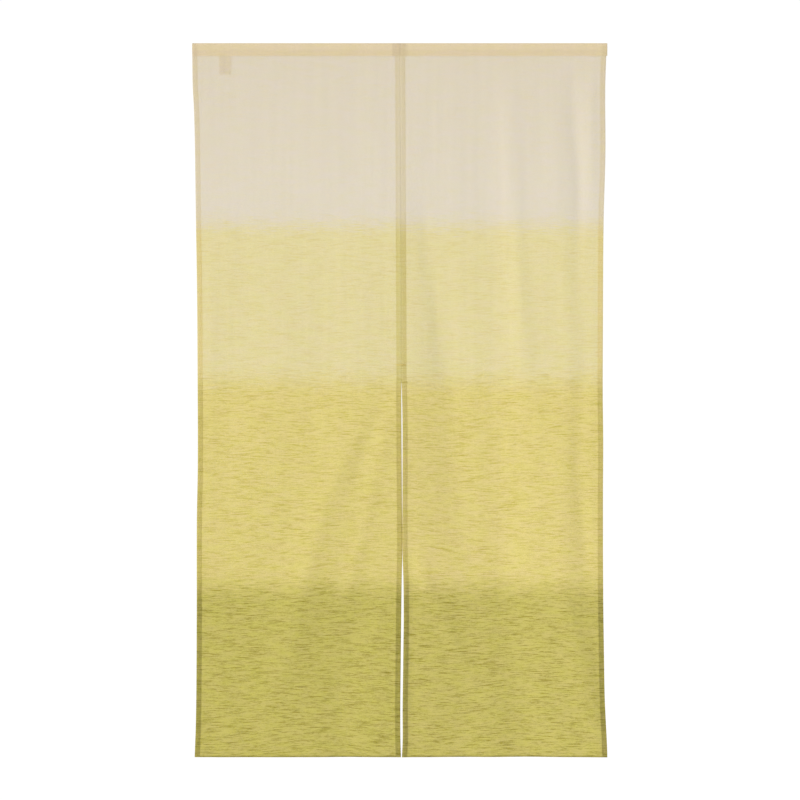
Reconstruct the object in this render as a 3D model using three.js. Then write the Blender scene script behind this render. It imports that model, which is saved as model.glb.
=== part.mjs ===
// A noren: a split doorway curtain of sheer slub cloth, hanging from a rod pocket.
// Millimetres, +Z up. The origin is the middle of the top edge, +X is to the right of someone
// who faces the curtain, and +Y is away from them, so the front of the cloth faces -Y.
// A drop is a distance down from the top edge.
import * as THREE from "three";

// Driving dimensions
const LENGTH = 1500;
const CLOTH = 1;
const GAP = 0.3;
const HEADING = { width: 872, height: 27, front: 4.5, back: 8, widest: 10, lip: 4 };
const HEM = { width: 11, foot: 6, thickness: 2, step: 1.5 };
const LABEL = { x: -368, width: 27, height: 39, clearance: 0.4 };

// Mesh fineness
const FIELD_COLUMNS = 28;
const PANEL_ROWS = 32;
const LABEL_ROWS = 4;
const POCKET_CURVE = 6;

// How far each outer edge is drawn in from the end of the heading, by drop
const LEFT_EDGE = {
  drop: [27, 90, 140, 370, 540, 690, 1000, 1200, 1430, 1500],
  inset: [0.6, 1.8, 4.6, 8.1, 10.7, 10.7, 9, 9, 6.6, 4.4],
};
const RIGHT_EDGE = {
  drop: [27, 90, 230, 370, 600, 840, 940, 1170, 1290, 1380, 1480, 1500],
  inset: [1.7, 3.8, 4, 7.5, 8.2, 7, 8, 7.4, 5.8, 3.1, 0, 0],
};

// The line between the panels: sewn as far as the slit, which opens, closes and opens again
const CENTRE = {
  drop: [27, 711, 790, 880, 960, 1044, 1080, 1130, 1200, 1290, 1400, 1465, 1500],
  x: [1, 3.8, 4.8, 5, 5.2, 5.5, 5.7, 6, 5.9, 4.8, 3.5, 3.6, 3.4],
  gap: [GAP, GAP, 1.6, 1.3, 0.7, GAP, 0.7, 3.4, 5.2, 5.5, 5.2, 4.8, 2],
};

// Soft folds. Each one runs down its own line, x by drop, and stands out by its rise there:
// a ridge towards the viewer is positive, a trough is negative, and spread is its half-width.
const LEFT_FOLDS = {
  mainRidge: {
    spread: 44,
    drop: [480, 600, 750, 950, 1050, 1150, 1250, 1350, 1500],
    x: [-90, -95, -108, -155, -180, -205, -222, -240, -265],
    rise: [0, 1, 2.5, 3.5, 5, 8, 9.5, 5.5, 1.5],
  },
  outerRidge: {
    spread: 50,
    drop: [350, 550, 750, 900, 1050, 1200, 1400],
    x: [-230, -240, -260, -290, -300, -300, -300],
    rise: [0, 1, 3, 2.6, 2.6, 1, 0],
  },
  slitTrough: {
    spread: 38,
    drop: [1060, 1150, 1250, 1380, 1500],
    x: [-60, -78, -100, -120, -110],
    rise: [0, -2.5, -6, -6.5, -6],
  },
  hemRidge: {
    spread: 14,
    drop: [350, 550, 850, 1150],
    x: [-396, -396, -398, -400],
    rise: [0, 0.8, 0.8, 0],
  },
  cornerRidge: {
    spread: 20,
    drop: [1250, 1450, 1500],
    x: [-360, -362, -364],
    rise: [0, 2, 2],
  },
};
const RIGHT_FOLDS = {
  innerTrough: {
    spread: 50,
    drop: [150, 350, 550, 700, 850, 1050, 1200, 1350, 1500],
    x: [70, 90, 110, 120, 125, 140, 152, 150, 135],
    rise: [0, -2, -6.5, -10, -13, -11, -8, -8, -7],
  },
  outerTrough: {
    spread: 55,
    drop: [27, 250, 450, 650, 850, 1050, 1250, 1400, 1500],
    x: [180, 180, 188, 195, 202, 214, 232, 248, 265],
    rise: [0, -2.5, -5, -6.5, -12, -14, -15, -14, -12],
  },
  middleRidge: {
    spread: 15,
    drop: [27, 150, 350, 650, 800],
    x: [233, 233, 240, 260, 262],
    rise: [0, 1.8, 2.4, 2.2, 0],
  },
  mainRidge: {
    spread: 26,
    drop: [27, 150, 350, 650, 850, 1050, 1150, 1250, 1350, 1500],
    x: [322, 324, 332, 354, 344, 342, 350, 368, 391, 424],
    rise: [0, 1, 1.3, 1.6, 1.6, 4, 6.5, 9, 8, 5],
  },
  hemTrough: {
    spread: 13,
    drop: [27, 150, 300, 450, 650, 850, 1050, 1150],
    x: [362, 366, 376, 373, 384, 377, 387, 393],
    rise: [0, -2.4, -3.2, -1.6, -1, -3.2, -3.5, 0],
  },
  hemRidge: {
    spread: 12,
    drop: [27, 150, 420],
    x: [399, 402, 404],
    rise: [0, 1.3, 0],
  },
  slitRidge: {
    spread: 18,
    drop: [1040, 1120, 1250, 1400],
    x: [34, 52, 110, 185],
    rise: [0, 3, 4, 0],
  },
};

// A smooth curve through one column of a table, read by drop
function readColumn(table, column) {
  const curve = new THREE.CubicInterpolant(table.drop, table[column], 1);
  return (drop) => curve.evaluate(drop)[0];
}

// The y of a panel's front face at a point: flat cloth, moved by every fold that reaches there
function readFolds(table) {
  const folds = Object.values(table).map((fold) => ({
    spread: fold.spread,
    x: readColumn(fold, "x"),
    rise: readColumn(fold, "rise"),
  }));
  return (x, drop) => {
    let y = -CLOTH / 2;
    for (const fold of folds) {
      const away = (x - fold.x(drop)) / fold.spread;
      y -= fold.rise(drop) * Math.exp(-away * away);
    }
    return y;
  };
}

// Evenly spaced values from first to last, both included
function spaced(first, last, count) {
  return Array.from({ length: count }, (_, i) => THREE.MathUtils.lerp(first, last, i / (count - 1)));
}

// One point of a sheet, with its thickness added behind the front face
function sheetPoint(x, y, drop, thickness) {
  return {
    front: new THREE.Vector3(x, y, -drop),
    back: new THREE.Vector3(x, y + thickness, -drop),
  };
}

// A closed sheet from rows of such points, listed from left to right and from top to foot
function sheet(name, rows, material) {
  const columns = rows[0].length;
  const ring = 2 * columns;
  const points = rows.flatMap((row) => [
    ...row.map((point) => point.front),
    ...row.map((point) => point.back).reverse(),
  ]);
  const corners = [];
  const addQuad = (a, b, c, d) => corners.push(a, b, c, a, c, d);
  for (let row = 0; row < rows.length - 1; row += 1) {
    const upper = row * ring;
    const lower = upper + ring;
    for (let i = 0; i < ring; i += 1) {
      const next = (i + 1) % ring;
      addQuad(upper + i, lower + i, lower + next, upper + next);
    }
  }
  const foot = (rows.length - 1) * ring;
  for (let i = 0; i < columns - 1; i += 1) {
    const behind = ring - 1 - i;
    addQuad(i, i + 1, behind - 1, behind);
    addQuad(foot + i, foot + behind, foot + behind - 1, foot + i + 1);
  }
  const geometry = new THREE.BufferGeometry().setFromPoints(points);
  geometry.setIndex(corners);
  const mesh = new THREE.Mesh(geometry, material);
  mesh.name = name;
  return mesh;
}

// A panel between its two side edges, with its hems turned to the back
function panel(name, leftEdge, rightEdge, frontFace, material) {
  const hemSide = HEM.width + HEM.step;
  const fieldFoot = LENGTH - HEM.foot - HEM.step;
  const drops = [...spaced(HEADING.height + GAP, fieldFoot, PANEL_ROWS), LENGTH - HEM.foot, LENGTH];
  const rows = drops.map((drop) => {
    const left = leftEdge(drop);
    const right = rightEdge(drop);
    const field = spaced(left + hemSide, right - hemSide, FIELD_COLUMNS);
    const xs = [left, left + HEM.width, ...field, right - HEM.width, right];
    return xs.map((x) => {
      const inField = field.includes(x) && drop <= fieldFoot;
      return sheetPoint(x, frontFace(x, drop), drop, inField ? CLOTH : HEM.thickness);
    });
  });
  return sheet(name, rows, material);
}

// The pocket's cloth in section, seen from its end: a loop that narrows to the sewn lip
function pocketLoop(path, wall, lipFront, lipBack, lipDrop) {
  const front = -HEADING.front + wall;
  const back = HEADING.back - wall;
  const middle = (front + back) / 2;
  const widest = -HEADING.widest;
  const swell = (HEADING.widest - wall) / 2;
  const taper = (lipDrop - HEADING.widest) / 2;
  path.moveTo(lipBack, -lipDrop);
  path.bezierCurveTo(lipBack, -lipDrop + taper, back, widest - taper, back, widest);
  path.bezierCurveTo(back, widest + swell, middle + swell, -wall, middle, -wall);
  path.bezierCurveTo(middle - swell, -wall, front, widest + swell, front, widest);
  path.bezierCurveTo(front, widest - taper, lipFront, -lipDrop + taper, lipFront, -lipDrop);
  path.closePath();
  return path;
}

// The heading: the folded top of the cloth, open at both ends for the rod
function heading(name, material) {
  const fold = CLOTH / 2;
  const section = pocketLoop(new THREE.Shape(), 0, -fold, fold + CLOTH, HEADING.height);
  section.holes.push(pocketLoop(new THREE.Path(), CLOTH, fold, fold, HEADING.height - HEADING.lip));
  const geometry = new THREE.ExtrudeGeometry(section, {
    depth: HEADING.width,
    bevelEnabled: false,
    curveSegments: POCKET_CURVE,
  });
  geometry.translate(0, 0, -HEADING.width / 2);
  const sectionAcross = new THREE.Vector3(0, 1, 0);
  const sectionUp = new THREE.Vector3(0, 0, 1);
  const alongRod = new THREE.Vector3(1, 0, 0);
  geometry.applyMatrix4(new THREE.Matrix4().makeBasis(sectionAcross, sectionUp, alongRod));
  const mesh = new THREE.Mesh(geometry, material);
  mesh.name = name;
  return mesh;
}

// The label: a short tape that hangs from the lip, behind the left panel
function label(name, panelFront, material) {
  const top = HEADING.height + GAP;
  const behindPanel = CLOTH + LABEL.clearance;
  const sides = [LABEL.x - LABEL.width / 2, LABEL.x + LABEL.width / 2];
  const drops = spaced(top, top + LABEL.height, LABEL_ROWS);
  const rows = drops.map((drop) =>
    sides.map((x) => sheetPoint(x, panelFront(x, drop) + behindPanel, drop, CLOTH)),
  );
  return sheet(name, rows, material);
}

// Finishes: matt cloth, warmer where it is doubled in the heading, and a satin tape
const cloth = new THREE.MeshStandardMaterial({ color: 0xdccd8c, roughness: 0.95, metalness: 0 });
const doubledCloth = new THREE.MeshStandardMaterial({ color: 0xddcea9, roughness: 0.95, metalness: 0 });
const satinTape = new THREE.MeshStandardMaterial({ color: 0xece7da, roughness: 0.6, metalness: 0 });

// The edges and faces that the pieces share
const end = HEADING.width / 2;
const leftInset = readColumn(LEFT_EDGE, "inset");
const rightInset = readColumn(RIGHT_EDGE, "inset");
const centre = readColumn(CENTRE, "x");
const slit = readColumn(CENTRE, "gap");
const halfSlit = (drop) => Math.max(slit(drop), GAP) / 2;
const outerLeft = (drop) => leftInset(drop) - end;
const innerLeft = (drop) => centre(drop) - halfSlit(drop);
const innerRight = (drop) => centre(drop) + halfSlit(drop);
const outerRight = (drop) => end - rightInset(drop);
const leftFront = readFolds(LEFT_FOLDS);
const rightFront = readFolds(RIGHT_FOLDS);

const noren = new THREE.Group();
noren.add(
  heading("heading", doubledCloth),
  panel("panel_left", outerLeft, innerLeft, leftFront, cloth),
  panel("panel_right", innerRight, outerRight, rightFront, cloth),
  label("label", leftFront, satinTape),
);

export default noren;
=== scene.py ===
import bpy
import numpy as np
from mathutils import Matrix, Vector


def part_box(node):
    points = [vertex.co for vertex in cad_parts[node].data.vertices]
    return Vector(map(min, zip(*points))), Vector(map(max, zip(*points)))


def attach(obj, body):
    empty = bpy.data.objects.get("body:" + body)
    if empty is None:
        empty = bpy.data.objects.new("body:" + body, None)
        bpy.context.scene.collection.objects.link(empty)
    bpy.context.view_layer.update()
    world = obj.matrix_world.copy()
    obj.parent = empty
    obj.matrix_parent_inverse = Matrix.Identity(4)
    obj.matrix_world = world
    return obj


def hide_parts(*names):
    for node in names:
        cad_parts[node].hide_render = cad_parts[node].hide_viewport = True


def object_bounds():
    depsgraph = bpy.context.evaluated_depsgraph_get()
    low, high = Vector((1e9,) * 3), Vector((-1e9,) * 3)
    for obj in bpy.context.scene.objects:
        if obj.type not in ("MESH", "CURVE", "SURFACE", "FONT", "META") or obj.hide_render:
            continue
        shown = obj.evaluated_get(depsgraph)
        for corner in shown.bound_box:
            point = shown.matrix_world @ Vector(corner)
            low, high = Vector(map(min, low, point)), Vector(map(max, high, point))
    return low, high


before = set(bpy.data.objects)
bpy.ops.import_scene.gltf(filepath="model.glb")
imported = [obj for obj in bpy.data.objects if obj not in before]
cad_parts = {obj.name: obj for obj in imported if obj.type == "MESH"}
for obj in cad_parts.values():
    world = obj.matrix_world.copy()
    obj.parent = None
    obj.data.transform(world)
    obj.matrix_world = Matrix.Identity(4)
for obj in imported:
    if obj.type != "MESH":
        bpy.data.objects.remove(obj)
cad_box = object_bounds()

# The two panels
# Lengths of sheer plain weave with a slubby weft, dyed in four soft bands. Each side edge is turned
# twice to the back and sewn down, the foot is a narrow rolled hem, and the cloth hangs in shallow folds.
MM = 0.001
heading_low, heading_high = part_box("heading")
END = heading_high.x / MM
HEADING_HEIGHT = -heading_low.z / MM
LENGTH = -cad_box[0].z / MM

# Millimetres. A hem's layers lie a lift apart, and its raw edge stops a tuck short of the outer fold
HEM = {"width": 11.0, "lift": 0.45, "tuck": 3.0}
FOOT = {"width": 3.0, "lift": 0.5, "tuck": 1.0}
SEAM_TUCKS = {"left": 5.0, "right": 4.0, "pocket": 5.0}
HEM_BEND_POINTS = 5
HEM_FLAT_POINTS = 4

# The sewn edges press into each other at the centre seam, and the panels reach up behind the heading's lip
SEAM_PRESS = 0.7
SEAM_LAP = 0.6
ROW_STEP = 4.0
COLUMN_STEP = 4.0

# By drop, how far each outer edge lies in from the heading's end, and the middle of the slit with its gap
LEFT_EDGE = {
    "drop": [27, 90, 140, 370, 540, 690, 890, 1000, 1200, 1430, 1500],
    "inset": [0.1, 1.1, 3.7, 7.8, 10.4, 11.3, 11.7, 9.8, 9.5, 7.6, 5.1],
}
RIGHT_EDGE = {
    "drop": [27, 90, 230, 370, 600, 740, 840, 940, 1170, 1290, 1380, 1480, 1500],
    "inset": [2.2, 4.2, 3.9, 7.6, 9.1, 9.5, 8.5, 9, 8.4, 6.8, 5.2, 0.5, 0],
}
CENTRE = {
    "drop": [27, 700, 720, 790, 880, 960, 1044, 1080, 1130, 1200, 1290, 1400, 1465, 1500],
    "x": [1, 3.7, 3.8, 4.6, 4.9, 5.1, 5.4, 5.6, 5.9, 5.8, 4.8, 3.6, 3.8, 3.6],
    "gap": [-0.7, -0.7, 0.6, 2, 1.6, 0.8, 0, 0.7, 3.5, 5, 5, 4.6, 4.4, 1.9],
}

# Each fold runs down its own line and stands out by its rise there: a ridge is positive, a trough
# negative, and spread is its half-width.
LEFT_FOLDS = {
    "main ridge": {
        "spread": 44,
        "drop": [480, 600, 750, 950, 1050, 1150, 1250, 1350, 1500],
        "x": [-90, -95, -108, -155, -180, -205, -222, -240, -265],
        "rise": [0, 1, 2.5, 3.5, 5, 8, 9.5, 5.5, 1.5],
    },
    "outer ridge": {
        "spread": 50,
        "drop": [350, 550, 750, 900, 1050, 1200, 1400],
        "x": [-230, -240, -260, -290, -300, -300, -300],
        "rise": [0, 1, 3, 2.6, 2.6, 1, 0],
    },
    "slit trough": {
        "spread": 38,
        "drop": [1060, 1150, 1250, 1380, 1500],
        "x": [-60, -78, -100, -120, -110],
        "rise": [0, -2.5, -6, -6.5, -6],
    },
    "hem ridge": {
        "spread": 14,
        "drop": [350, 550, 850, 1150],
        "x": [-396, -396, -398, -400],
        "rise": [0, 0.8, 0.8, 0],
    },
    "corner ridge": {
        "spread": 20,
        "drop": [1250, 1450, 1500],
        "x": [-360, -362, -364],
        "rise": [0, 2, 2],
    },
    "crest of the main ridge": {
        "spread": 22,
        "drop": [640, 740, 812, 938, 1043, 1180, 1254, 1330],
        "x": [-60, -72, -88, -142, -178, -214, -235, -255],
        "rise": [0, 1.2, 2, 2.6, 2.6, 2.6, 1.6, 0],
    },
    "crease from the tack": {
        "spread": 14,
        "drop": [720, 800, 900, 1010],
        "x": [-22, -52, -88, -128],
        "rise": [0, -1.4, -1.6, 0],
    },
    "ridge from the slit": {
        "spread": 16,
        "drop": [740, 850, 1000, 1170, 1250],
        "x": [-8, -36, -72, -112, -128],
        "rise": [0, 1.6, 2.2, 2, 0],
    },
    "crease from the slit": {
        "spread": 9,
        "drop": [1110, 1200, 1300, 1400],
        "x": [-14, -40, -66, -80],
        "rise": [0, 1.2, 1.2, 0],
    },
    "curl of the slit edge": {
        "spread": 12,
        "drop": [1080, 1200, 1400, 1500],
        "x": [5, 4, 2, 2],
        "rise": [0, 1.8, 2.4, 2],
    },
}
RIGHT_FOLDS = {
    "inner trough": {
        "spread": 52,
        "drop": [150, 350, 550, 700, 850, 1050, 1200, 1350, 1500],
        "x": [62, 78, 97, 107, 114, 132, 148, 148, 135],
        "rise": [0, -2.4, -6.8, -10, -13, -11, -8, -8, -7],
    },
    "outer trough": {
        "spread": 55,
        "drop": [27, 250, 450, 650, 850, 1050, 1250, 1400, 1500],
        "x": [180, 180, 188, 195, 202, 214, 232, 248, 265],
        "rise": [0, -2.5, -5, -6.5, -12, -14, -15, -14, -12],
    },
    "middle ridge": {
        "spread": 21,
        "drop": [27, 150, 350, 650, 800],
        "x": [233, 233, 240, 260, 262],
        "rise": [0, 1.8, 2.4, 2.4, 0],
    },
    "main ridge": {
        "spread": 26,
        "drop": [27, 150, 350, 650, 850, 1050, 1150, 1250, 1350, 1500],
        "x": [322, 324, 332, 354, 344, 342, 350, 368, 391, 424],
        "rise": [0, 1, 1.3, 1.6, 1.6, 4, 6.5, 9, 8, 5],
    },
    "hem trough": {
        "spread": 16,
        "drop": [27, 150, 300, 450, 650, 850, 1050, 1150],
        "x": [362, 366, 376, 373, 384, 377, 387, 393],
        "rise": [0, -2.4, -3, -1.6, -1, -3.2, -3.5, 0],
    },
    "hem ridge": {"spread": 12, "drop": [27, 150, 420], "x": [399, 402, 404], "rise": [0, 1.3, 0]},
    "slit ridge": {
        "spread": 18,
        "drop": [1040, 1120, 1250, 1400],
        "x": [34, 52, 110, 185],
        "rise": [0, 3, 4, 0],
    },
    "dent": {"spread": 9, "drop": [790, 850, 920], "x": [228, 230, 230], "rise": [0, 1.2, 0]},
    "crease from the seam": {
        "spread": 18,
        "drop": [280, 400, 560, 680, 780],
        "x": [38, 53, 74, 88, 98],
        "rise": [0, -1.6, -2, -1.2, 0],
    },
    "fall from the slit": {
        "spread": 46,
        "drop": [705, 800, 920, 1020, 1100],
        "x": [5, 5, 8, 14, 20],
        "rise": [0, 2.6, 3.2, 2, 0],
    },
    "curl of the slit edge": {
        "spread": 13,
        "drop": [711, 880, 1040, 1200, 1400, 1500],
        "x": [4, 5, 6, 8, 6, 5],
        "rise": [0, 1.6, 2.4, 5.4, 6.2, 5],
    },
}


def read_column(table, column):
    """A smooth curve through one column of a table, read by drop, and flat beyond its ends."""
    drops = np.array(table["drop"], float)
    values = np.array(table[column], float)
    secants = np.diff(values) / np.diff(drops)
    slopes = np.concatenate([secants[:1], (secants[:-1] + secants[1:]) / 2, secants[-1:]])

    def read(drop):
        drop = np.clip(drop, drops[0], drops[-1])
        above = np.clip(np.searchsorted(drops, drop, side="right") - 1, 0, len(drops) - 2)
        step = drops[above + 1] - drops[above]
        climb = values[above + 1] - values[above]
        t = (drop - drops[above]) / step
        leave = slopes[above] * step - climb
        arrive = climb - slopes[above + 1] * step
        return values[above] + t * climb + t * (1 - t) * ((1 - t) * leave + t * arrive)

    return read


def read_folds(table):
    """The depth of a panel's cloth at x and drop: flat, moved by every fold that reaches there."""
    folds = []
    for fold in table.values():
        folds.append((fold["spread"], read_column(fold, "x"), read_column(fold, "rise")))

    def depth(x, drop):
        y = np.zeros(np.broadcast(x, drop).shape)
        for spread, line, rise in folds:
            y = y - rise(drop) * np.exp(-(((x - line(drop)) / spread) ** 2))
        return y

    return depth


def turned_hem(width, tuck, lift):
    """A hem turned twice, in section from its raw edge to its front: inward from the edge, and behind."""
    bend = np.linspace(0, np.pi, HEM_BEND_POINTS)[1:-1]
    tucked = np.linspace(tuck, width - lift / 2, HEM_FLAT_POINTS)
    back = np.linspace(width - lift / 2, lift, HEM_FLAT_POINTS)
    front = np.linspace(lift, width, HEM_FLAT_POINTS)
    inward = [
        tucked,
        width - lift / 2 + lift / 2 * np.sin(bend),
        back,
        lift - lift * np.sin(bend),
        front,
    ]
    behind = [
        np.full(len(tucked), lift),
        1.5 * lift - lift / 2 * np.cos(bend),
        np.full(len(back), 2 * lift),
        lift + lift * np.cos(bend),
        np.zeros(len(front)),
    ]
    return np.concatenate(inward), np.concatenate(behind)


def grid_quads(rows, columns):
    """The quads of a grid of points, in rows downwards and columns to the right, that face the viewer."""
    index = np.arange(rows * columns).reshape(rows, columns)
    return np.stack([index[:-1, :-1], index[1:, :-1], index[1:, 1:], index[:-1, 1:]], axis=-1)


def make_piece(name, points, face_blocks, material, flat=None):
    """A smooth mesh from points in millimetres, with their places on the flat cloth if those are given."""
    used = np.unique(np.concatenate([block.ravel() for block in face_blocks]))
    place = np.full(len(points), -1)
    place[used] = np.arange(len(used))
    faces = []
    for block in face_blocks:
        faces.extend(place[block].tolist())
    mesh = bpy.data.meshes.new(name)
    mesh.from_pydata((points[used] * MM).tolist(), [], faces)
    mesh.polygons.foreach_set("use_smooth", np.ones(len(mesh.polygons), bool))
    mesh.materials.append(material)
    if flat is not None:
        corners = np.empty(len(mesh.loops), int)
        mesh.loops.foreach_get("vertex_index", corners)
        flat_map = mesh.uv_layers.new(name="flat cloth")
        flat_map.data.foreach_set("uv", (flat[used][corners] * MM).ravel())
    piece = bpy.data.objects.new(name, mesh)
    bpy.context.collection.objects.link(piece)
    return piece


left_inset = read_column(LEFT_EDGE, "inset")
right_inset = read_column(RIGHT_EDGE, "inset")
centre_x = read_column(CENTRE, "x")
centre_gap = read_column(CENTRE, "gap")
left_depth = read_folds(LEFT_FOLDS)
right_depth = read_folds(RIGHT_FOLDS)


def outer_left(drop):
    """The left panel's outer edge, as x by drop."""
    return left_inset(drop) - END


def inner_left(drop):
    """The left panel's edge at the seam and the slit."""
    return centre_x(drop) - np.maximum(centre_gap(drop), -SEAM_PRESS) / 2


def inner_right(drop):
    """The right panel's edge at the seam and the slit."""
    return centre_x(drop) + np.maximum(centre_gap(drop), -SEAM_PRESS) / 2


def outer_right(drop):
    """The right panel's outer edge."""
    return END - right_inset(drop)


def panel_grid(left_edge, right_edge, depth, left_tuck, right_tuck):
    """A panel's points, quads and flat places: its field, its side hems and the foot turned up behind."""
    left_in, left_behind = turned_hem(HEM["width"], left_tuck, HEM["lift"])
    right_in, right_behind = turned_hem(HEM["width"], right_tuck, HEM["lift"])
    foot_up, foot_behind = turned_hem(FOOT["width"], FOOT["tuck"], FOOT["lift"])
    foot_up = foot_up[foot_behind > 0][::-1]
    foot_behind = foot_behind[foot_behind > 0][::-1]

    top = HEADING_HEIGHT - SEAM_LAP
    foot = LENGTH - FOOT["lift"]
    hung = np.linspace(top, foot, round((foot - top) / ROW_STEP) + 1)
    drops = np.concatenate([hung, LENGTH - foot_up])[:, None]
    turned = np.concatenate([np.zeros(len(hung)), foot_behind])[:, None]

    left = left_edge(drops)
    right = right_edge(drops)
    count = round((right - left).mean() / COLUMN_STEP)
    share = np.linspace(0, 1, count + 2)[1:-1]
    field = left + HEM["width"] + share * (right - left - 2 * HEM["width"])
    x = np.hstack([left + left_in, field, (right - right_in)[:, ::-1]])
    behind = np.concatenate([left_behind, np.zeros(count), right_behind[::-1]])

    y = depth(x, drops) + behind + turned
    z = np.broadcast_to(-drops, x.shape)
    points = np.stack([x, y, z], axis=-1).reshape(-1, 3)

    quads = grid_quads(*x.shape)
    front = np.flatnonzero(behind == 0)
    whole = quads[: len(hung) - 1].reshape(-1, 4)
    turn_up = quads[len(hung) - 1 :, front[0] : front[-1]].reshape(-1, 4)
    return points, [whole, turn_up], points[:, ::2] * (1, -1)


def put_node(tree, kind, sockets, **settings):
    """A node with its settings, and each socket given a value or fed by another node's output."""
    node = tree.nodes.new(kind)
    for name, value in settings.items():
        setattr(node, name, value)
    for key, value in sockets.items():
        if isinstance(value, bpy.types.NodeSocket):
            tree.links.new(value, node.inputs[key])
        else:
            node.inputs[key].default_value = value
    return node


def work_out(tree, operation, *values):
    """The output of a Math node."""
    return put_node(tree, "ShaderNodeMath", dict(enumerate(values)), operation=operation).outputs[0]


def mix_colours(tree, share, first, second, blend="MIX"):
    """The colour output of a Mix node, whose colour sockets come after its other kinds."""
    node = put_node(tree, "ShaderNodeMix", {}, data_type="RGBA", blend_type=blend)
    for socket, value in ((0, share), (6, first), (7, second)):
        if isinstance(value, bpy.types.NodeSocket):
            tree.links.new(value, node.inputs[socket])
        else:
            node.inputs[socket].default_value = value
    return node.outputs[2]


def map_range(tree, value, start, end, low=0.0, high=1.0, ease="LINEAR"):
    """A value that runs from start to end, taken over to low and high and held there beyond them."""
    sockets = {"Value": value, "From Min": start, "From Max": end, "To Min": low, "To Max": high}
    return put_node(tree, "ShaderNodeMapRange", sockets, interpolation_type=ease).outputs["Result"]


def thread_noise(tree, place, detail):
    """Uneven noise along one line, about a middle of 0.5."""
    sockets = {"W": place, "Scale": 1.0, "Detail": detail, "Roughness": 0.72}
    return put_node(tree, "ShaderNodeTexNoise", sockets, noise_dimensions="1D").outputs[0]


def cloth_noise(tree, across, down, patch, detail):
    """Uneven noise over the cloth, about a middle of 0.5, in patches of a width and a height."""
    x = work_out(tree, "DIVIDE", across, patch["width"])
    y = work_out(tree, "DIVIDE", down, patch["height"])
    place = put_node(tree, "ShaderNodeCombineXYZ", {"X": x, "Y": y})
    sockets = {"Vector": place.outputs["Vector"], "Scale": 1.0, "Detail": detail, "Roughness": 0.5}
    return put_node(tree, "ShaderNodeTexNoise", sockets, noise_dimensions="2D").outputs[0]


# Each band's pale yarn, its deeper slubs, the light that it lets through, and the drops between
# which it is even. The cream is a little greyer near the heading.
DYE_BANDS = [
    {
        "top": 0,
        "foot": 40,
        "yarn": (0.776, 0.658, 0.440),
        "slub": (0.761, 0.645, 0.426),
        "through": (0.02, 0.12, 0.34),
    },
    {
        "top": 300,
        "foot": 361,
        "yarn": (0.808, 0.696, 0.482),
        "slub": (0.792, 0.682, 0.466),
        "through": (0.02, 0.12, 0.34),
    },
    {
        "top": 403,
        "foot": 683,
        "yarn": (0.836, 0.690, 0.303),
        "slub": (0.740, 0.605, 0.230),
        "through": (0.02, 0.17, 0.24),
    },
    {
        "top": 735,
        "foot": 1117,
        "yarn": (0.640, 0.545, 0.188),
        "slub": (0.484, 0.404, 0.065),
        "through": (0.65, 0.50, 0.14),
    },
    {
        "top": 1165,
        "foot": 1500,
        "yarn": (0.418, 0.369, 0.103),
        "slub": (0.181, 0.159, 0.006),
        "through": (0.80, 0.66, 0.065),
    },
]

# Threads in millimetres. A thread's side lies at a share of the way from its middle to the next one's
WEFT = {"pitch": 0.56, "side": 0.42, "bow": 15.0}
WARP = {"pitch": 0.8, "side": 0.45}
SLUB = {"length": 52.0, "side": 0.46, "height": 0.6, "thin": 0.42, "thick": 0.74, "crowding": 0.05}
SLUB_THROUGH = (0.5, 0.48, 0.3, 1)
THREAD_EDGE = 0.9
UNDER_HEIGHT = 0.5
RAGGED_REACH = 80.0

# Where each pair of weft threads starts on its run of noise, for its slubs and for its share of the dye
PAIR_STARTS = 900
DYE_START = 431.7

# How wide and high the patches of uneven cloth are, and what they do to the colour
BOW_PATCH = {"width": 260, "height": 420}
CROWD_PATCH = {"width": 95, "height": 30}
HUE_PATCH = {"width": 46, "height": 15}
STREAK_PATCH = {"width": 14, "height": 340}
SPECK_PATCH = {"width": 2.4, "height": 1.3}
STREAK_TONE = {"low": 0.97, "high": 1.03}
SPECK_TONE = {"low": 0.90, "high": 1.10}
HUE_SPREAD = {"start": 0.3, "end": 0.7}
HUE_DEPTH = {"start": 380, "end": 1170, "low": 0.3}
GREENER = (0.985, 1.01, 0.87, 1)
GOLDEN = (1.015, 0.99, 1.13, 1)
# Doubled cloth is warmer, and lighter in red and green by painted light
DOUBLED_TINT_AND_LIGHT = (1.085, 1.05, 0.985, 1)
LOW_DEPTH = {"start": 700, "end": 1160}
LOW_TINT = (0.95, 0.96, 0.88, 1)


def dye_ramp(tree, drop, column):
    """The colour of one column of the dye table by drop, with a soft change between bands."""
    share = work_out(tree, "DIVIDE", drop, LENGTH)
    ramp = put_node(tree, "ShaderNodeValToRGB", {"Fac": share})
    stops = ramp.color_ramp.elements
    stops.remove(stops[1])
    stops[0].position = 0
    stops[0].color = (*DYE_BANDS[0][column], 1)
    for band in DYE_BANDS:
        for edge in ("top", "foot"):
            stop = stops.new(band[edge] / LENGTH)
            stop.color = (*band[column], 1)
    return ramp.outputs["Color"]


def place_on_cloth(tree):
    """How far a spot is across and down the flat cloth, in millimetres."""
    spot = put_node(tree, "ShaderNodeTexCoord", {})
    spot = put_node(tree, "ShaderNodeSeparateXYZ", {"Vector": spot.outputs["UV"]})
    across = work_out(tree, "DIVIDE", spot.outputs["X"], MM)
    down = work_out(tree, "DIVIDE", spot.outputs["Y"], MM)
    return across, down


def off_middle(tree, noise):
    """Noise as it swings about zero."""
    return work_out(tree, "SUBTRACT", noise, 0.5)


def off_thread(tree, turn):
    """How far a spot lies from the middle of its thread: 0 on it, and 1 between two threads."""
    return work_out(tree, "MULTIPLY_ADD", work_out(tree, "PINGPONG", turn, 0.5), -2, 1)


def round_thread(tree, off):
    """The height of a round thread at a spot that far from its middle."""
    return work_out(tree, "MULTIPLY_ADD", work_out(tree, "MULTIPLY", off, off), -1, 1)


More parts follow.
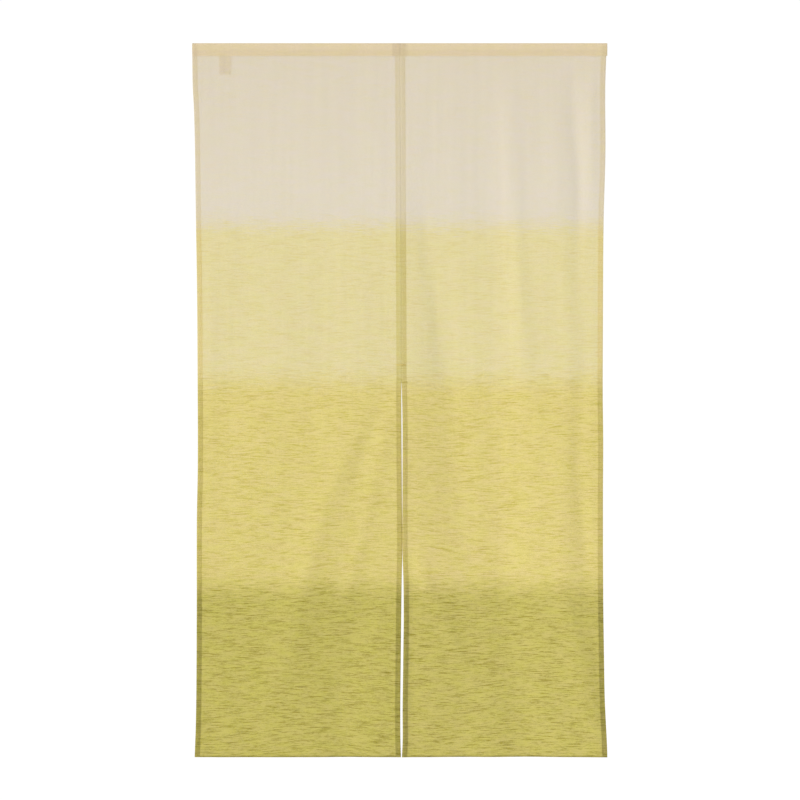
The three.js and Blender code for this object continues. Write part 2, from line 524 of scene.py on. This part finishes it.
weave = bpy.data.node_groups.new("slub weave", "ShaderNodeTree")
for socket in ("Sheer", "Warm", "Deep"):
    weave.interface.new_socket(socket, in_out="INPUT", socket_type="NodeSocketFloat")
for socket in ("Colour", "Through"):
    weave.interface.new_socket(socket, in_out="OUTPUT", socket_type="NodeSocketColor")
for socket in ("Cover", "Relief"):
    weave.interface.new_socket(socket, in_out="OUTPUT", socket_type="NodeSocketFloat")
given = put_node(weave, "NodeGroupInput", {})
across, down = place_on_cloth(weave)

# Slubs come in pairs of weft threads, each pair with its own run of thick and thin, more in some places
bow = off_middle(weave, cloth_noise(weave, across, down, BOW_PATCH, 0))
weft_down = work_out(weave, "MULTIPLY_ADD", bow, WEFT["bow"], down)
weft_turn = work_out(weave, "DIVIDE", weft_down, WEFT["pitch"])
pair_number = work_out(weave, "FLOOR", work_out(weave, "DIVIDE", weft_turn, 2))
pair_start = put_node(weave, "ShaderNodeTexWhiteNoise", {"W": pair_number}, noise_dimensions="1D")
pair_shift = work_out(weave, "MULTIPLY", pair_start.outputs["Value"], PAIR_STARTS)
pair_run = work_out(weave, "DIVIDE", across, SLUB["length"])
pair_place = work_out(weave, "ADD", pair_run, pair_shift)
crowd = off_middle(weave, cloth_noise(weave, across, down, CROWD_PATCH, 1))
slub_noise = work_out(weave, "MULTIPLY_ADD", crowd, SLUB["crowding"], thread_noise(weave, pair_place, 6))
slub = map_range(weave, slub_noise, SLUB["thin"], SLUB["thick"], ease="SMOOTHSTEP")

# The dye changes thread by thread, so the edges of the bands are ragged
rag_place = work_out(weave, "ADD", pair_place, DYE_START)
rag = off_middle(weave, thread_noise(weave, rag_place, 2))
ragged_down = work_out(weave, "MULTIPLY_ADD", rag, RAGGED_REACH, down)
yarn_colour = dye_ramp(weave, ragged_down, "yarn")
slub_colour = dye_ramp(weave, ragged_down, "slub")
dyed = mix_colours(weave, slub, yarn_colour, slub_colour)
through_colour = dye_ramp(weave, ragged_down, "through")
through = mix_colours(weave, slub, through_colour, SLUB_THROUGH, "MULTIPLY")

# Some places took the dye a little greener and some a little more golden, lower down above all
hue = map_range(weave, cloth_noise(weave, across, down, HUE_PATCH, 1), **HUE_SPREAD)
hue_tint = mix_colours(weave, hue, GREENER, GOLDEN)
dye_depth = map_range(weave, down, **HUE_DEPTH)
dyed = mix_colours(weave, dye_depth, dyed, hue_tint, "MULTIPLY")

# The warp is finer and evener, with long faint streaks and fine specks
streak_noise = cloth_noise(weave, across, down, STREAK_PATCH, 2)
streak_tone = map_range(weave, streak_noise, 0, 1, **STREAK_TONE)
speck_noise = cloth_noise(weave, across, down, SPECK_PATCH, 0)
speck_tone = map_range(weave, speck_noise, 0, 1, **SPECK_TONE)
tone = work_out(weave, "MULTIPLY", streak_tone, speck_tone)
grey = put_node(weave, "ShaderNodeCombineColor", {"Red": tone, "Green": tone, "Blue": tone})
streaked = mix_colours(weave, 1.0, dyed, grey.outputs["Color"], "MULTIPLY")

# Doubled cloth is warmer, and painted light makes it a little lighter. The left panel took a little more
# dye low down
warmed_and_lit = mix_colours(weave, given.outputs["Warm"], streaked, DOUBLED_TINT_AND_LIGHT, "MULTIPLY")
low_down = map_range(weave, down, **LOW_DEPTH)
deepened = work_out(weave, "MULTIPLY", low_down, given.outputs["Deep"])
cloth_colour = mix_colours(weave, deepened, warmed_and_lit, LOW_TINT, "MULTIPLY")

# Light passes where neither thread lies, less so where the slubs are heavier
warp_turn = work_out(weave, "DIVIDE", across, WARP["pitch"])
weft_off = off_thread(weave, weft_turn)
warp_off = off_thread(weave, warp_turn)
weft_side = work_out(weave, "MULTIPLY_ADD", slub, SLUB["side"], WEFT["side"])
weft_clear = map_range(weave, weft_off, weft_side, THREAD_EDGE)
warp_clear = map_range(weave, warp_off, WARP["side"], THREAD_EDGE)
hole = work_out(weave, "MULTIPLY", weft_clear, warp_clear)
cover = work_out(weave, "SUBTRACT", 1, work_out(weave, "MULTIPLY", hole, given.outputs["Sheer"]))

# Each thread is round, and passes over one and under the next
weft_number = work_out(weave, "FLOOR", weft_turn)
warp_number = work_out(weave, "FLOOR", warp_turn)
over = work_out(weave, "PINGPONG", work_out(weave, "ADD", weft_number, warp_number), 1)
weft_share = work_out(weave, "MULTIPLY_ADD", over, 1 - UNDER_HEIGHT, UNDER_HEIGHT)
warp_share = work_out(weave, "MULTIPLY_ADD", over, UNDER_HEIGHT - 1, 1)
weft_high = work_out(weave, "MULTIPLY", round_thread(weave, weft_off), weft_share)
warp_high = work_out(weave, "MULTIPLY", round_thread(weave, warp_off), warp_share)
thread_high = work_out(weave, "MAXIMUM", weft_high, warp_high)
relief = work_out(weave, "MULTIPLY_ADD", slub, SLUB["height"], thread_high)
put_node(
    weave,
    "NodeGroupOutput",
    {"Colour": cloth_colour, "Through": through, "Cover": cover, "Relief": relief},
)

# How much of the cloth lets light shine through its yarn, and how clear the gaps between threads are
SHINE_THROUGH = 0.25
SHEER = 0.53


def sheer_cloth(name, warm, deep):
    """The woven cloth: matt yarn, clear gaps between its threads, and dyed light that shines through."""
    material = bpy.data.materials.new(name)
    material.use_nodes = True
    tree = material.node_tree
    tree.nodes.clear()
    cloth = put_node(
        tree,
        "ShaderNodeGroup",
        {"Sheer": SHEER, "Warm": warm, "Deep": deep},
        node_tree=weave,
    )
    bump = put_node(
        tree,
        "ShaderNodeBump",
        {"Height": cloth.outputs["Relief"], "Distance": 0.00018, "Strength": 0.5},
    )
    yarn = put_node(
        tree,
        "ShaderNodeBsdfPrincipled",
        {
            "Base Color": cloth.outputs["Colour"],
            "Alpha": cloth.outputs["Cover"],
            "Roughness": 0.92,
            "Specular IOR Level": 0.2,
            "Normal": bump.outputs["Normal"],
        },
    )
    shone = put_node(tree, "ShaderNodeBsdfTranslucent", {"Color": cloth.outputs["Through"]})
    whole = put_node(
        tree,
        "ShaderNodeMixShader",
        {0: SHINE_THROUGH, 1: yarn.outputs["BSDF"], 2: shone.outputs["BSDF"]},
    )
    put_node(tree, "ShaderNodeOutputMaterial", {"Surface": whole.outputs["Shader"]})
    return material


def deepen(material, share, tint):
    """Paints shade: takes a cloth's colour towards a tint of itself by a share that changes over the cloth.
    """
    tree = material.node_tree
    deeper = mix_colours(tree, share, tree.nodes["Group"].outputs["Colour"], tint, "MULTIPLY")
    tree.links.new(deeper, tree.nodes["Principled BSDF"].inputs["Base Color"])


# The hem at the centre seam above the slit is the thickest, and painted shade darkens it there, in the pale
# band above all. Its fold lies at an x that leans to the right with the drop.
SEAM_SHADE = {
    "lean": 0.0041,
    "below_cream": {"start": 361, "end": 403, "low": 0.25},
    "above_slit": {"start": 690, "end": 730, "low": 1.0, "high": 0.0},
    "left_fold": {"start": -10.6, "end": -9.6},
    "left_tint": (0.915, 0.95, 0.87, 1),
    "right_fold": {"start": 11.4, "end": 12.4, "low": 1.0, "high": 0.0},
    "right_tint": (0.87, 0.89, 0.80, 1),
}


def shade_seam(material, fold, tint):
    """Paints shade on a panel's cloth on its side of the centre seam."""
    tree = material.node_tree
    across, down = place_on_cloth(tree)
    from_seam = work_out(tree, "MULTIPLY_ADD", down, -SEAM_SHADE["lean"], across)
    on_hem = map_range(tree, from_seam, **fold)
    below_cream = map_range(tree, down, **SEAM_SHADE["below_cream"])
    above_slit = map_range(tree, down, **SEAM_SHADE["above_slit"])
    by_drop = work_out(tree, "MULTIPLY", below_cream, above_slit)
    deepen(material, work_out(tree, "MULTIPLY", on_hem, by_drop), tint)


left_cloth = sheer_cloth("left panel cloth", warm=0.0, deep=1.0)
right_cloth = sheer_cloth("right panel cloth", warm=0.0, deep=0.0)
# Painted shade on both panels beside the centre seam
shade_seam(left_cloth, SEAM_SHADE["left_fold"], SEAM_SHADE["left_tint"])
shade_seam(right_cloth, SEAM_SHADE["right_fold"], SEAM_SHADE["right_tint"])

points, quads, flat = panel_grid(outer_left, inner_left, left_depth, HEM["tuck"], SEAM_TUCKS["left"])
left_panel = make_piece("left_panel", points, quads, left_cloth, flat)
points, quads, flat = panel_grid(inner_right, outer_right, right_depth, SEAM_TUCKS["right"], HEM["tuck"])
right_panel = make_piece("right_panel", points, quads, right_cloth, flat)

for panel, solid in ((left_panel, "panel_left"), (right_panel, "panel_right")):
    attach(panel, "root")
    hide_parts(solid)

# The sewing of the panels
# One row of lockstitch holds each side hem and the rolled foot, in a fine thread that was dyed with the
# cloth and shows on both faces. Two short bar tacks above the slit stop it from tearing further up.
STITCH = {"pitch": 3.2, "length": 2.6, "radius": 0.17, "shoulders": (0.22, 0.78), "proud": 0.6, "dip": 0.9}
STITCH_SIDES = 5
HEM_ROW = {"from_fold": 1.5, "below_heading": 3.0, "above_foot": 4.0}
FOOT_ROW_UP = 2.2
BAR_TACKS = [
    {"drop": 676, "left": -6.8, "right": 13.0},
    {"drop": 712.6, "left": 5.2, "right": 15.2},
]
TACK = {"step": 0.55, "height": 4.8}
THREAD_SHADES = {"deep": (0.66, 0.62, 0.52, 1), "pale": (0.88, 0.85, 0.76, 1)}
TACK_SHADES = {"deep": (0.715, 0.70, 0.485, 1), "pale": (0.92, 0.91, 0.67, 1)}
FRONT = (0, -1, 0)
BACK = (0, 1, 0)


def stitches(starts, ends, out):
    """Plump stitches whose tips dip into the cloth, from arrays of their ends: points, triangles, quads."""
    count = len(starts)
    along = ends - starts
    forward = along / np.linalg.norm(along, axis=1, keepdims=True)
    out = np.broadcast_to(np.array(out, float), starts.shape)
    side = np.cross(forward, out)
    radius = STITCH["radius"]
    angles = np.linspace(0, 2 * np.pi, STITCH_SIDES, endpoint=False)
    wheel = np.cos(angles)[None, :, None] * side[:, None] + np.sin(angles)[None, :, None] * out[:, None]
    rings = []
    for share in STITCH["shoulders"]:
        middle = starts + share * along + STITCH["proud"] * radius * out
        rings.append(middle[:, None] + radius * wheel)
    tips = [end - STITCH["dip"] * radius * out for end in (starts, ends)]
    points = np.concatenate([tips[0][:, None], rings[0], rings[1], tips[1][:, None]], axis=1)
    size = points.shape[1]
    here = np.arange(STITCH_SIDES)
    after = (here + 1) % STITCH_SIDES
    first = 1 + here, 1 + after
    second = 1 + STITCH_SIDES + here, 1 + STITCH_SIDES + after
    caps = [
        np.stack([np.zeros_like(here), first[0], first[1]], axis=1),
        np.stack([np.full_like(here, size - 1), second[1], second[0]], axis=1),
    ]
    belt = np.stack([first[0], second[0], second[1], first[1]], axis=1)
    shift = size * np.arange(count)[:, None, None]
    triangles = (np.concatenate(caps)[None] + shift).reshape(-1, 3)
    quads = (belt[None] + shift).reshape(-1, 4)
    return points.reshape(-1, 3), triangles, quads


def join_stitches(rows):
    """The rows of stitches of one piece as one set of points and faces."""
    points = []
    triangles = []
    quads = []
    shift = 0
    for row in rows:
        points.append(row[0])
        triangles.append(row[1] + shift)
        quads.append(row[2] + shift)
        shift += len(row[0])
    return np.concatenate(points), [np.concatenate(triangles), np.concatenate(quads)]


def hem_rows(edge, inward, depth):
    """The two faces of a row of stitches down a side hem, which lies inward from its edge."""
    first = HEADING_HEIGHT + HEM_ROW["below_heading"]
    starts = np.arange(first, LENGTH - HEM_ROW["above_foot"], STITCH["pitch"])
    rows = []
    for behind, out in ((0, FRONT), (2 * HEM["lift"], BACK)):
        ends = []
        for drop in (starts, starts + STITCH["length"]):
            x = edge(drop) + inward
            ends.append(np.stack([x, depth(x, drop) + behind, -drop], axis=1))
        rows.append(stitches(ends[0], ends[1], out))
    return rows


def foot_rows(left_edge, right_edge, depth):
    """The two faces of the row of stitches along the foot."""
    drop = LENGTH - FOOT_ROW_UP
    starts = np.arange(left_edge(drop) + HEM["width"], right_edge(drop) - HEM["width"], STITCH["pitch"])
    rows = []
    for behind, out in ((0, FRONT), (2 * FOOT["lift"], BACK)):
        ends = []
        for x in (starts, starts + STITCH["length"]):
            ends.append(np.stack([x, depth(x, drop) + behind, np.full(len(x), -drop)], axis=1))
        rows.append(stitches(ends[0], ends[1], out))
    return rows


def tack_rows(tack):
    """A bar tack: thread laid up and down across the seam, close together, on both faces."""
    x = np.arange(tack["left"], tack["right"], TACK["step"])
    slant = TACK["step"] / 2
    top = np.full(len(x), TACK["height"] / 2 - tack["drop"])
    bottom = np.full(len(x), -TACK["height"] / 2 - tack["drop"])
    rows = []
    for behind, out in ((0, FRONT), (2 * HEM["lift"], BACK)):
        y = np.full(len(x), behind)
        upper = np.stack([x, y, top], axis=1)
        lower = np.stack([x + slant, y, bottom], axis=1)
        rows.append(stitches(upper, lower, out))
    return rows


def sewing_thread(name, deep, pale):
    """Matt spun thread in the dye of its place, uneven in shade, its twist as fine slanting ridges."""
    material = bpy.data.materials.new(name)
    material.use_nodes = True
    tree = material.node_tree
    tree.nodes.clear()
    place = put_node(tree, "ShaderNodeTexCoord", {})
    uneven = put_node(tree, "ShaderNodeTexNoise", {"Vector": place.outputs["Object"], "Scale": 260.0})
    shade = put_node(tree, "ShaderNodeValToRGB", {"Fac": uneven.outputs[0]})
    shade.color_ramp.elements[0].color = deep
    shade.color_ramp.elements[1].color = pale
    spot = put_node(tree, "ShaderNodeSeparateXYZ", {"Vector": place.outputs["Object"]})
    down = work_out(tree, "DIVIDE", spot.outputs["Z"], -MM)
    dyed = mix_colours(tree, 1.0, dye_ramp(tree, down, "yarn"), shade.outputs["Color"], "MULTIPLY")
    twist = put_node(
        tree,
        "ShaderNodeTexWave",
        {"Vector": place.outputs["Object"], "Scale": 900.0},
        bands_direction="DIAGONAL",
    )
    bump = put_node(tree, "ShaderNodeBump", {"Height": twist.outputs[1], "Distance": 0.00004})
    thread = put_node(
        tree,
        "ShaderNodeBsdfPrincipled",
        {"Base Color": dyed, "Roughness": 0.8, "Normal": bump.outputs["Normal"]},
    )
    put_node(tree, "ShaderNodeOutputMaterial", {"Surface": thread.outputs["BSDF"]})
    return material


thread_finish = sewing_thread("dyed thread", **THREAD_SHADES)
tack_finish = sewing_thread("deep dyed thread", **TACK_SHADES)
in_from_fold = HEM["width"] - HEM_ROW["from_fold"]
left_sewing = make_piece(
    "left_panel_sewing",
    *join_stitches(
        hem_rows(outer_left, in_from_fold, left_depth)
        + hem_rows(inner_left, -in_from_fold, left_depth)
        + foot_rows(outer_left, inner_left, left_depth)
    ),
    thread_finish,
)
right_sewing = make_piece(
    "right_panel_sewing",
    *join_stitches(
        hem_rows(inner_right, in_from_fold, right_depth)
        + hem_rows(outer_right, -in_from_fold, right_depth)
        + foot_rows(inner_right, outer_right, right_depth)
    ),
    thread_finish,
)
tacks = make_piece(
    "bar_tacks",
    *join_stitches([row for tack in BAR_TACKS for row in tack_rows(tack)]),
    tack_finish,
)
for piece in (left_sewing, right_sewing, tacks):
    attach(piece, "root")


# The heading
# The top of the same cloth, folded to the back over the rod's place, its raw edge turned under and
# sewn down, so that it is a hollow pocket open at both ends. Its seam and end hems lie inside it.
CLOTH_HALF = 0.5
POCKET = {
    "front": heading_low.y / MM + CLOTH_HALF,
    "back": heading_high.y / MM - CLOTH_HALF,
    "crown": 0.0,
    "widest": 10.0,
    "lip_front": -0.25,
    "lip_back": 1.0,
    "turn_under": 8.0,
    "fold": 0.25,
}
WALL_ROWS = 10
CROWN_ROWS = 8
BACK_SEAM = {"shift": -2.0, "allowance": 1.35}
TURNED_LAYER = 0.1
POCKET_ROW = {"drop": 24.6, "from_left": 3.0, "from_right": 5.0}
SEAM_TACKS = {"x": [-3.7, 7.9], "top": 1.6, "foot": 8.8, "width": 1.9}
# Where painted shade darkens the pocket, over its seam allowances and its end hems
POCKET_SHADE = {
    "seam_start": {"start": -16.2, "end": -15.0},
    "seam_end": {"start": 11.0, "end": 19.0, "low": 1.0, "high": 0.0},
    "end_hem": {"start": 423.0, "end": 426.0, "high": 0.7},
    "tint": (0.90, 0.89, 0.89, 1),
}


def bezier(start, leave, arrive, end, count):
    """Points along a cubic curve, without its last."""
    t = np.linspace(0, 1, count, endpoint=False)[:, None]
    corners = [np.array(corner, float) for corner in (start, leave, arrive, end)]
    weights = [(1 - t) ** 3, 3 * t * (1 - t) ** 2, 3 * t**2 * (1 - t), t**3]
    return sum(weight * corner for weight, corner in zip(weights, corners))


def pocket_section():
    """The pocket's cloth seen from its end, as y and drop, from the raw edge to the front's lip."""
    front, back = POCKET["front"], POCKET["back"]
    middle = (front + back) / 2
    widest, crown = POCKET["widest"], POCKET["crown"]
    swell = (widest - crown) / 2
    taper = (HEADING_HEIGHT - widest) / 2
    lip_back = (POCKET["lip_back"], HEADING_HEIGHT - POCKET["fold"])
    lip_front = (POCKET["lip_front"], HEADING_HEIGHT)
    top = (middle, crown)
    front_side, front_upper, front_lower = (front, widest), (front, widest - swell), (front, widest + taper)
    back_side, back_upper, back_lower = (back, widest), (back, widest - swell), (back, widest + taper)
    back_wall = bezier(lip_back, (lip_back[0], lip_back[1] - taper), back_lower, back_side, WALL_ROWS)
    back_crown = bezier(back_side, back_upper, (middle + swell, crown), top, CROWN_ROWS)
    front_crown = bezier(top, (middle - swell, crown), front_upper, front_side, CROWN_ROWS)
    front_wall = bezier(front_side, front_lower, (lip_front[0], lip_front[1] - taper), lip_front, WALL_ROWS)
    under = back_wall[back_wall[:, 1] > HEADING_HEIGHT - POCKET["turn_under"]][::-1]
    under = under - np.array([2 * POCKET["fold"], 0])
    bottom = np.array([[POCKET["lip_back"] - POCKET["fold"], HEADING_HEIGHT]])
    section = np.concatenate([under, bottom, back_wall, back_crown, front_crown, front_wall, [lip_front]])
    return section, len(under) + len(bottom)


section, turned_rows = pocket_section()
travel = np.gradient(section, axis=0)
travel = travel / np.linalg.norm(travel, axis=1, keepdims=True)
inside = np.stack([travel[:, 1], travel[:, 0]], axis=1)
row_number = np.arange(len(section))
layer_share = np.where(row_number < turned_rows, TURNED_LAYER, 1.0)
back_top = turned_rows + WALL_ROWS
backness = np.interp(row_number, [back_top, back_top + CROWN_ROWS], [1, 0])
flat_steps = np.linalg.norm(np.diff(section, axis=0), axis=1)
flat_length = flat_steps.sum()
flat_drop = HEADING_HEIGHT - flat_length + np.concatenate([[0], np.cumsum(flat_steps)])


def pocket_half(left, right, left_scale, right_scale, left_tuck, right_tuck):
    """One half of the heading between its two edges, each given row by row."""
    left_in, left_behind = turned_hem(HEM["width"], left_tuck, HEM["lift"])
    right_in, right_behind = turned_hem(HEM["width"], right_tuck, HEM["lift"])
    left_in = left_scale[:, None] * left_in
    right_in = right_scale[:, None] * right_in
    count = round((right - left).mean() / COLUMN_STEP)
    share = np.linspace(0, 1, count + 2)[1:-1]
    inner_left_line = left + left_in[:, -1]
    inner_right_line = right - right_in[:, -1]
    field = inner_left_line[:, None] + share * (inner_right_line - inner_left_line)[:, None]
    x = np.hstack([left[:, None] + left_in, field, (right[:, None] - right_in)[:, ::-1]])
    behind = np.concatenate([left_behind, np.zeros(count), right_behind[::-1]])
    depth = layer_share[:, None] * behind
    y = section[:, :1] + depth * inside[:, :1]
    drop = section[:, 1:] - depth * inside[:, 1:]
    points = np.stack([x, y, -drop], axis=-1).reshape(-1, 3)
    flat = np.stack([x, np.broadcast_to(flat_drop[:, None], x.shape)], axis=-1).reshape(-1, 2)
    return points, grid_quads(*x.shape).reshape(-1, 4), flat


rows = np.ones(len(section))
seam = centre_x(HEADING_HEIGHT) + BACK_SEAM["shift"] * backness
allowance = 1 + (BACK_SEAM["allowance"] - 1) * backness
left_half = pocket_half(-END * rows, seam, rows, allowance, HEM["tuck"], SEAM_TUCKS["pocket"])
right_half = pocket_half(seam, END * rows, allowance, rows, SEAM_TUCKS["pocket"], HEM["tuck"])
# The heading's doubled cloth is warmer, and painted light makes it a little lighter
heading_cloth = sheer_cloth("heading cloth", warm=1.0, deep=0.0)

# Painted shade darkens the cloth where the seam allowances and the end hems lie folded inside the pocket
tree = heading_cloth.node_tree
across, _ = place_on_cloth(tree)
seam_start = map_range(tree, across, **POCKET_SHADE["seam_start"])
seam_end = map_range(tree, across, **POCKET_SHADE["seam_end"])
seam_block = work_out(tree, "MULTIPLY", seam_start, seam_end)
outward = work_out(tree, "ABSOLUTE", across)
end_block = map_range(tree, outward, **POCKET_SHADE["end_hem"])
pocket_shade = work_out(tree, "MAXIMUM", seam_block, end_block)
deepen(heading_cloth, pocket_shade, POCKET_SHADE["tint"])
heading = make_piece(
    "heading_pocket",
    np.concatenate([left_half[0], right_half[0]]),
    [left_half[1], right_half[1] + len(left_half[0])],
    heading_cloth,
    np.concatenate([left_half[2], right_half[2]]),
)


def pocket_rows():
    """The two faces of the row of stitches that closes the pocket."""
    drop = POCKET_ROW["drop"]
    starts = np.arange(-END + POCKET_ROW["from_left"], END - POCKET_ROW["from_right"], STITCH["pitch"])
    front_wall = section[-WALL_ROWS - 1 :]
    back_wall = section[turned_rows : turned_rows + WALL_ROWS + 1][::-1]
    rows = []
    for wall, out in ((front_wall, FRONT), (back_wall, BACK)):
        y = np.interp(drop, wall[:, 1], wall[:, 0])
        ends = []
        for x in (starts, starts + STITCH["length"]):
            ends.append(np.stack([x, np.full(len(x), y), np.full(len(x), -drop)], axis=1))
        rows.append(stitches(ends[0], ends[1], out))
    return rows


def seam_tack_rows():
    """Two short upright tacks on the front of the pocket, beside its seam."""
    front_wall = section[section[:, 0].argmin() - CROWN_ROWS :]
    drops = np.arange(SEAM_TACKS["top"], SEAM_TACKS["foot"], TACK["step"])
    rows = []
    for middle in SEAM_TACKS["x"]:
        ends = []
        for side, drop in ((-0.5, drops), (0.5, drops + TACK["step"] / 2)):
            x = np.full(len(drops), middle + side * SEAM_TACKS["width"])
            y = np.interp(drop, front_wall[:, 1], front_wall[:, 0])
            ends.append(np.stack([x, y, -drop], axis=1))
        rows.append(stitches(ends[0], ends[1], FRONT))
    return rows


heading_sewing = make_piece(
    "heading_sewing",
    *join_stitches(pocket_rows() + seam_tack_rows()),
    thread_finish,
)
for piece in (heading, heading_sewing):
    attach(piece, "root")
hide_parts("heading")

# The care label
# A short loop of white satin tape, bare, its ends caught in the pocket's seam behind the left panel.
# One end is turned under below the seam, and the sheer cloth shows its shadow.
label_low, label_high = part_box("label")
LABEL_SHIFT = {"left": 2.0, "right": 1.0, "front": 0.2}
LABEL = {
    "left": label_low.x / MM + LABEL_SHIFT["left"],
    "right": label_high.x / MM + LABEL_SHIFT["right"],
    "foot": -label_low.z / MM,
    "front_leg": label_low.y / MM + LABEL_SHIFT["front"],
    "leg_gap": 0.5,
    "twist": 0.5,
}

# Down the tape, by drop: in the seam, out of it, bent back and then straight. Its layers in the seam by y
TAPE = {"root": 24.0, "leaves": 27.0, "bends": 30.0, "straight": 40.0, "returns": 39.0}
TURNED_END = {"end": 34.5, "bends": 31.0, "ahead": 0.25}
ROOT_LAYERS = {"turned": 0.15, "front": 0.3, "back": 0.45}
TAPE_POINTS = {"turned": 6, "leg": 6, "bend": 8, "foot": 7}
LABEL_COLUMNS = 12
SATIN = {"deep": (0.89, 0.85, 0.66, 1), "pale": (0.96, 0.92, 0.73, 1), "through": (0.02, 0.1, 0.85, 1)}
SATIN_SHINE_THROUGH = 0.38


def label_section():
    """The tape seen from its side, as y and drop, from its turned end round the loop to its other end."""
    front = LABEL["front_leg"]
    back = front + LABEL["leg_gap"]
    radius = LABEL["leg_gap"] / 2
    foot_middle = LABEL["foot"] - radius
    under = front - TURNED_END["ahead"]
    turned = bezier(
        (under, TURNED_END["end"]),
        (under, TURNED_END["bends"]),
        (ROOT_LAYERS["turned"], TAPE["leaves"]),
        (ROOT_LAYERS["turned"], TAPE["root"]),
        TAPE_POINTS["turned"],
    )
    down = bezier(
        (ROOT_LAYERS["front"], TAPE["root"]),
        (ROOT_LAYERS["front"], TAPE["leaves"]),
        (front, TAPE["bends"]),
        (front, TAPE["straight"]),
        TAPE_POINTS["bend"],
    )
    leg_drop = np.linspace(TAPE["straight"], foot_middle, TAPE_POINTS["leg"])
    leg = np.stack([np.full(len(leg_drop), front), leg_drop], axis=1)
    turn = np.linspace(0, np.pi, TAPE_POINTS["foot"])[1:-1]
    foot = np.stack([front + radius - radius * np.cos(turn), foot_middle + radius * np.sin(turn)], axis=1)
    up_leg = leg[::-1] + np.array([LABEL["leg_gap"], 0])
    up = bezier(
        (back, TAPE["returns"]),
        (back, TAPE["bends"]),
        (ROOT_LAYERS["back"], TAPE["leaves"]),
        (ROOT_LAYERS["back"], TAPE["root"]),
        TAPE_POINTS["bend"],
    )
    end = [(ROOT_LAYERS["back"], TAPE["root"])]
    return np.concatenate([turned, down, leg, foot, up_leg, up, end])


tape = label_section()
tape_x = np.linspace(LABEL["left"], LABEL["right"], LABEL_COLUMNS)
hang = np.clip((tape[:, 1:] - HEADING_HEIGHT) / (LABEL["foot"] - HEADING_HEIGHT), 0, 1)
lean = LABEL["twist"] * hang * np.linspace(-1, 1, LABEL_COLUMNS)
tape_y = tape[:, :1] + np.maximum(lean, 0)
tape_grid = np.broadcast_arrays(tape_x, tape_y, -tape[:, 1:])
tape_points = np.stack(tape_grid, axis=-1).reshape(-1, 3)


def satin_tape(name):
    """Close white satin with a fine rib across the tape, which holds back most of the light from behind."""
    material = bpy.data.materials.new(name)
    material.use_nodes = True
    tree = material.node_tree
    tree.nodes.clear()
    place = put_node(tree, "ShaderNodeTexCoord", {})
    rib = put_node(
        tree,
        "ShaderNodeTexWave",
        {"Vector": place.outputs["Object"], "Scale": 620.0, "Distortion": 0.4},
        bands_direction="Z",
    )
    shade = put_node(tree, "ShaderNodeValToRGB", {"Fac": rib.outputs[1]})
    shade.color_ramp.elements[0].color = SATIN["deep"]
    shade.color_ramp.elements[1].color = SATIN["pale"]
    bump = put_node(tree, "ShaderNodeBump", {"Height": rib.outputs[1], "Distance": 0.00005})
    satin = put_node(
        tree,
        "ShaderNodeBsdfPrincipled",
        {"Base Color": shade.outputs["Color"], "Roughness": 0.45, "Normal": bump.outputs["Normal"]},
    )
    shone = put_node(tree, "ShaderNodeBsdfTranslucent", {"Color": SATIN["through"]})
    whole = put_node(
        tree,
        "ShaderNodeMixShader",
        {0: SATIN_SHINE_THROUGH, 1: satin.outputs["BSDF"], 2: shone.outputs["BSDF"]},
    )
    put_node(tree, "ShaderNodeOutputMaterial", {"Surface": whole.outputs["Shader"]})
    return material


label = make_piece(
    "label_tape",
    tape_points,
    [grid_quads(len(tape), LABEL_COLUMNS).reshape(-1, 4)],
    satin_tape("satin tape"),
)

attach(label, "root")
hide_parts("label")

# The studio
# White all round and a pale floor well below the foot, with one broad soft lamp from the upper left,
# which is enough to draw the shallow folds. The camera faces the curtain through a long lens.
PHOTO = {"pixels": 800, "mm_per_pixel": 2.1005, "centre_line": 399.75, "top_row": 43.1}
CAMERA_DISTANCE = 9.0
SENSOR = 36.0
FLOOR = {"drop": 2.0, "half": 30.0, "colour": (0.95, 0.95, 0.95, 1)}
WORLD_STRENGTH = 1.02
LAMP = {"energy": 1.75, "spread": 25, "tilt": 82, "turn": -63}

corners = [(-1, -1), (1, -1), (1, 1), (-1, 1)]
floor_points = [(x * FLOOR["half"], y * FLOOR["half"], -FLOOR["drop"]) for x, y in corners]
floor_mesh = bpy.data.meshes.new("floor")
floor_mesh.from_pydata(floor_points, [], [(0, 1, 2, 3)])
floor = bpy.data.objects.new("floor", floor_mesh)
bpy.context.collection.objects.link(floor)
floor_paint = bpy.data.materials.new("floor paint")
floor_paint.use_nodes = True
paint = floor_paint.node_tree.nodes["Principled BSDF"]
paint.inputs["Base Color"].default_value = FLOOR["colour"]
paint.inputs["Roughness"].default_value = 0.9
paint.inputs["Specular IOR Level"].default_value = 0.0
floor_mesh.materials.append(floor_paint)

world = bpy.data.worlds.new("white studio")
world.use_nodes = True
white = world.node_tree.nodes["Background"]
white.inputs["Color"].default_value = (1, 1, 1, 1)
white.inputs["Strength"].default_value = WORLD_STRENGTH
bpy.context.scene.world = world

lamp = bpy.data.lights.new("soft lamp", "SUN")
lamp.energy = LAMP["energy"]
lamp.angle = np.radians(LAMP["spread"])
lamp_stand = bpy.data.objects.new("soft lamp", lamp)
lamp_stand.rotation_euler = (np.radians(LAMP["tilt"]), 0, np.radians(LAMP["turn"]))
bpy.context.collection.objects.link(lamp_stand)

camera = bpy.data.cameras.new("camera")
camera.sensor_width = SENSOR
view_width = PHOTO["pixels"] * PHOTO["mm_per_pixel"] * MM
camera.lens = SENSOR * CAMERA_DISTANCE / view_width
camera_stand = bpy.data.objects.new("camera", camera)
middle = PHOTO["pixels"] / 2
camera_stand.location = (
    (middle - PHOTO["centre_line"]) * PHOTO["mm_per_pixel"] * MM,
    -CAMERA_DISTANCE,
    (PHOTO["top_row"] - middle) * PHOTO["mm_per_pixel"] * MM,
)
camera_stand.rotation_euler = (np.radians(90), 0, 0)
bpy.context.collection.objects.link(camera_stand)
bpy.context.scene.camera = camera_stand
bpy.context.scene.view_settings.view_transform = "Standard"
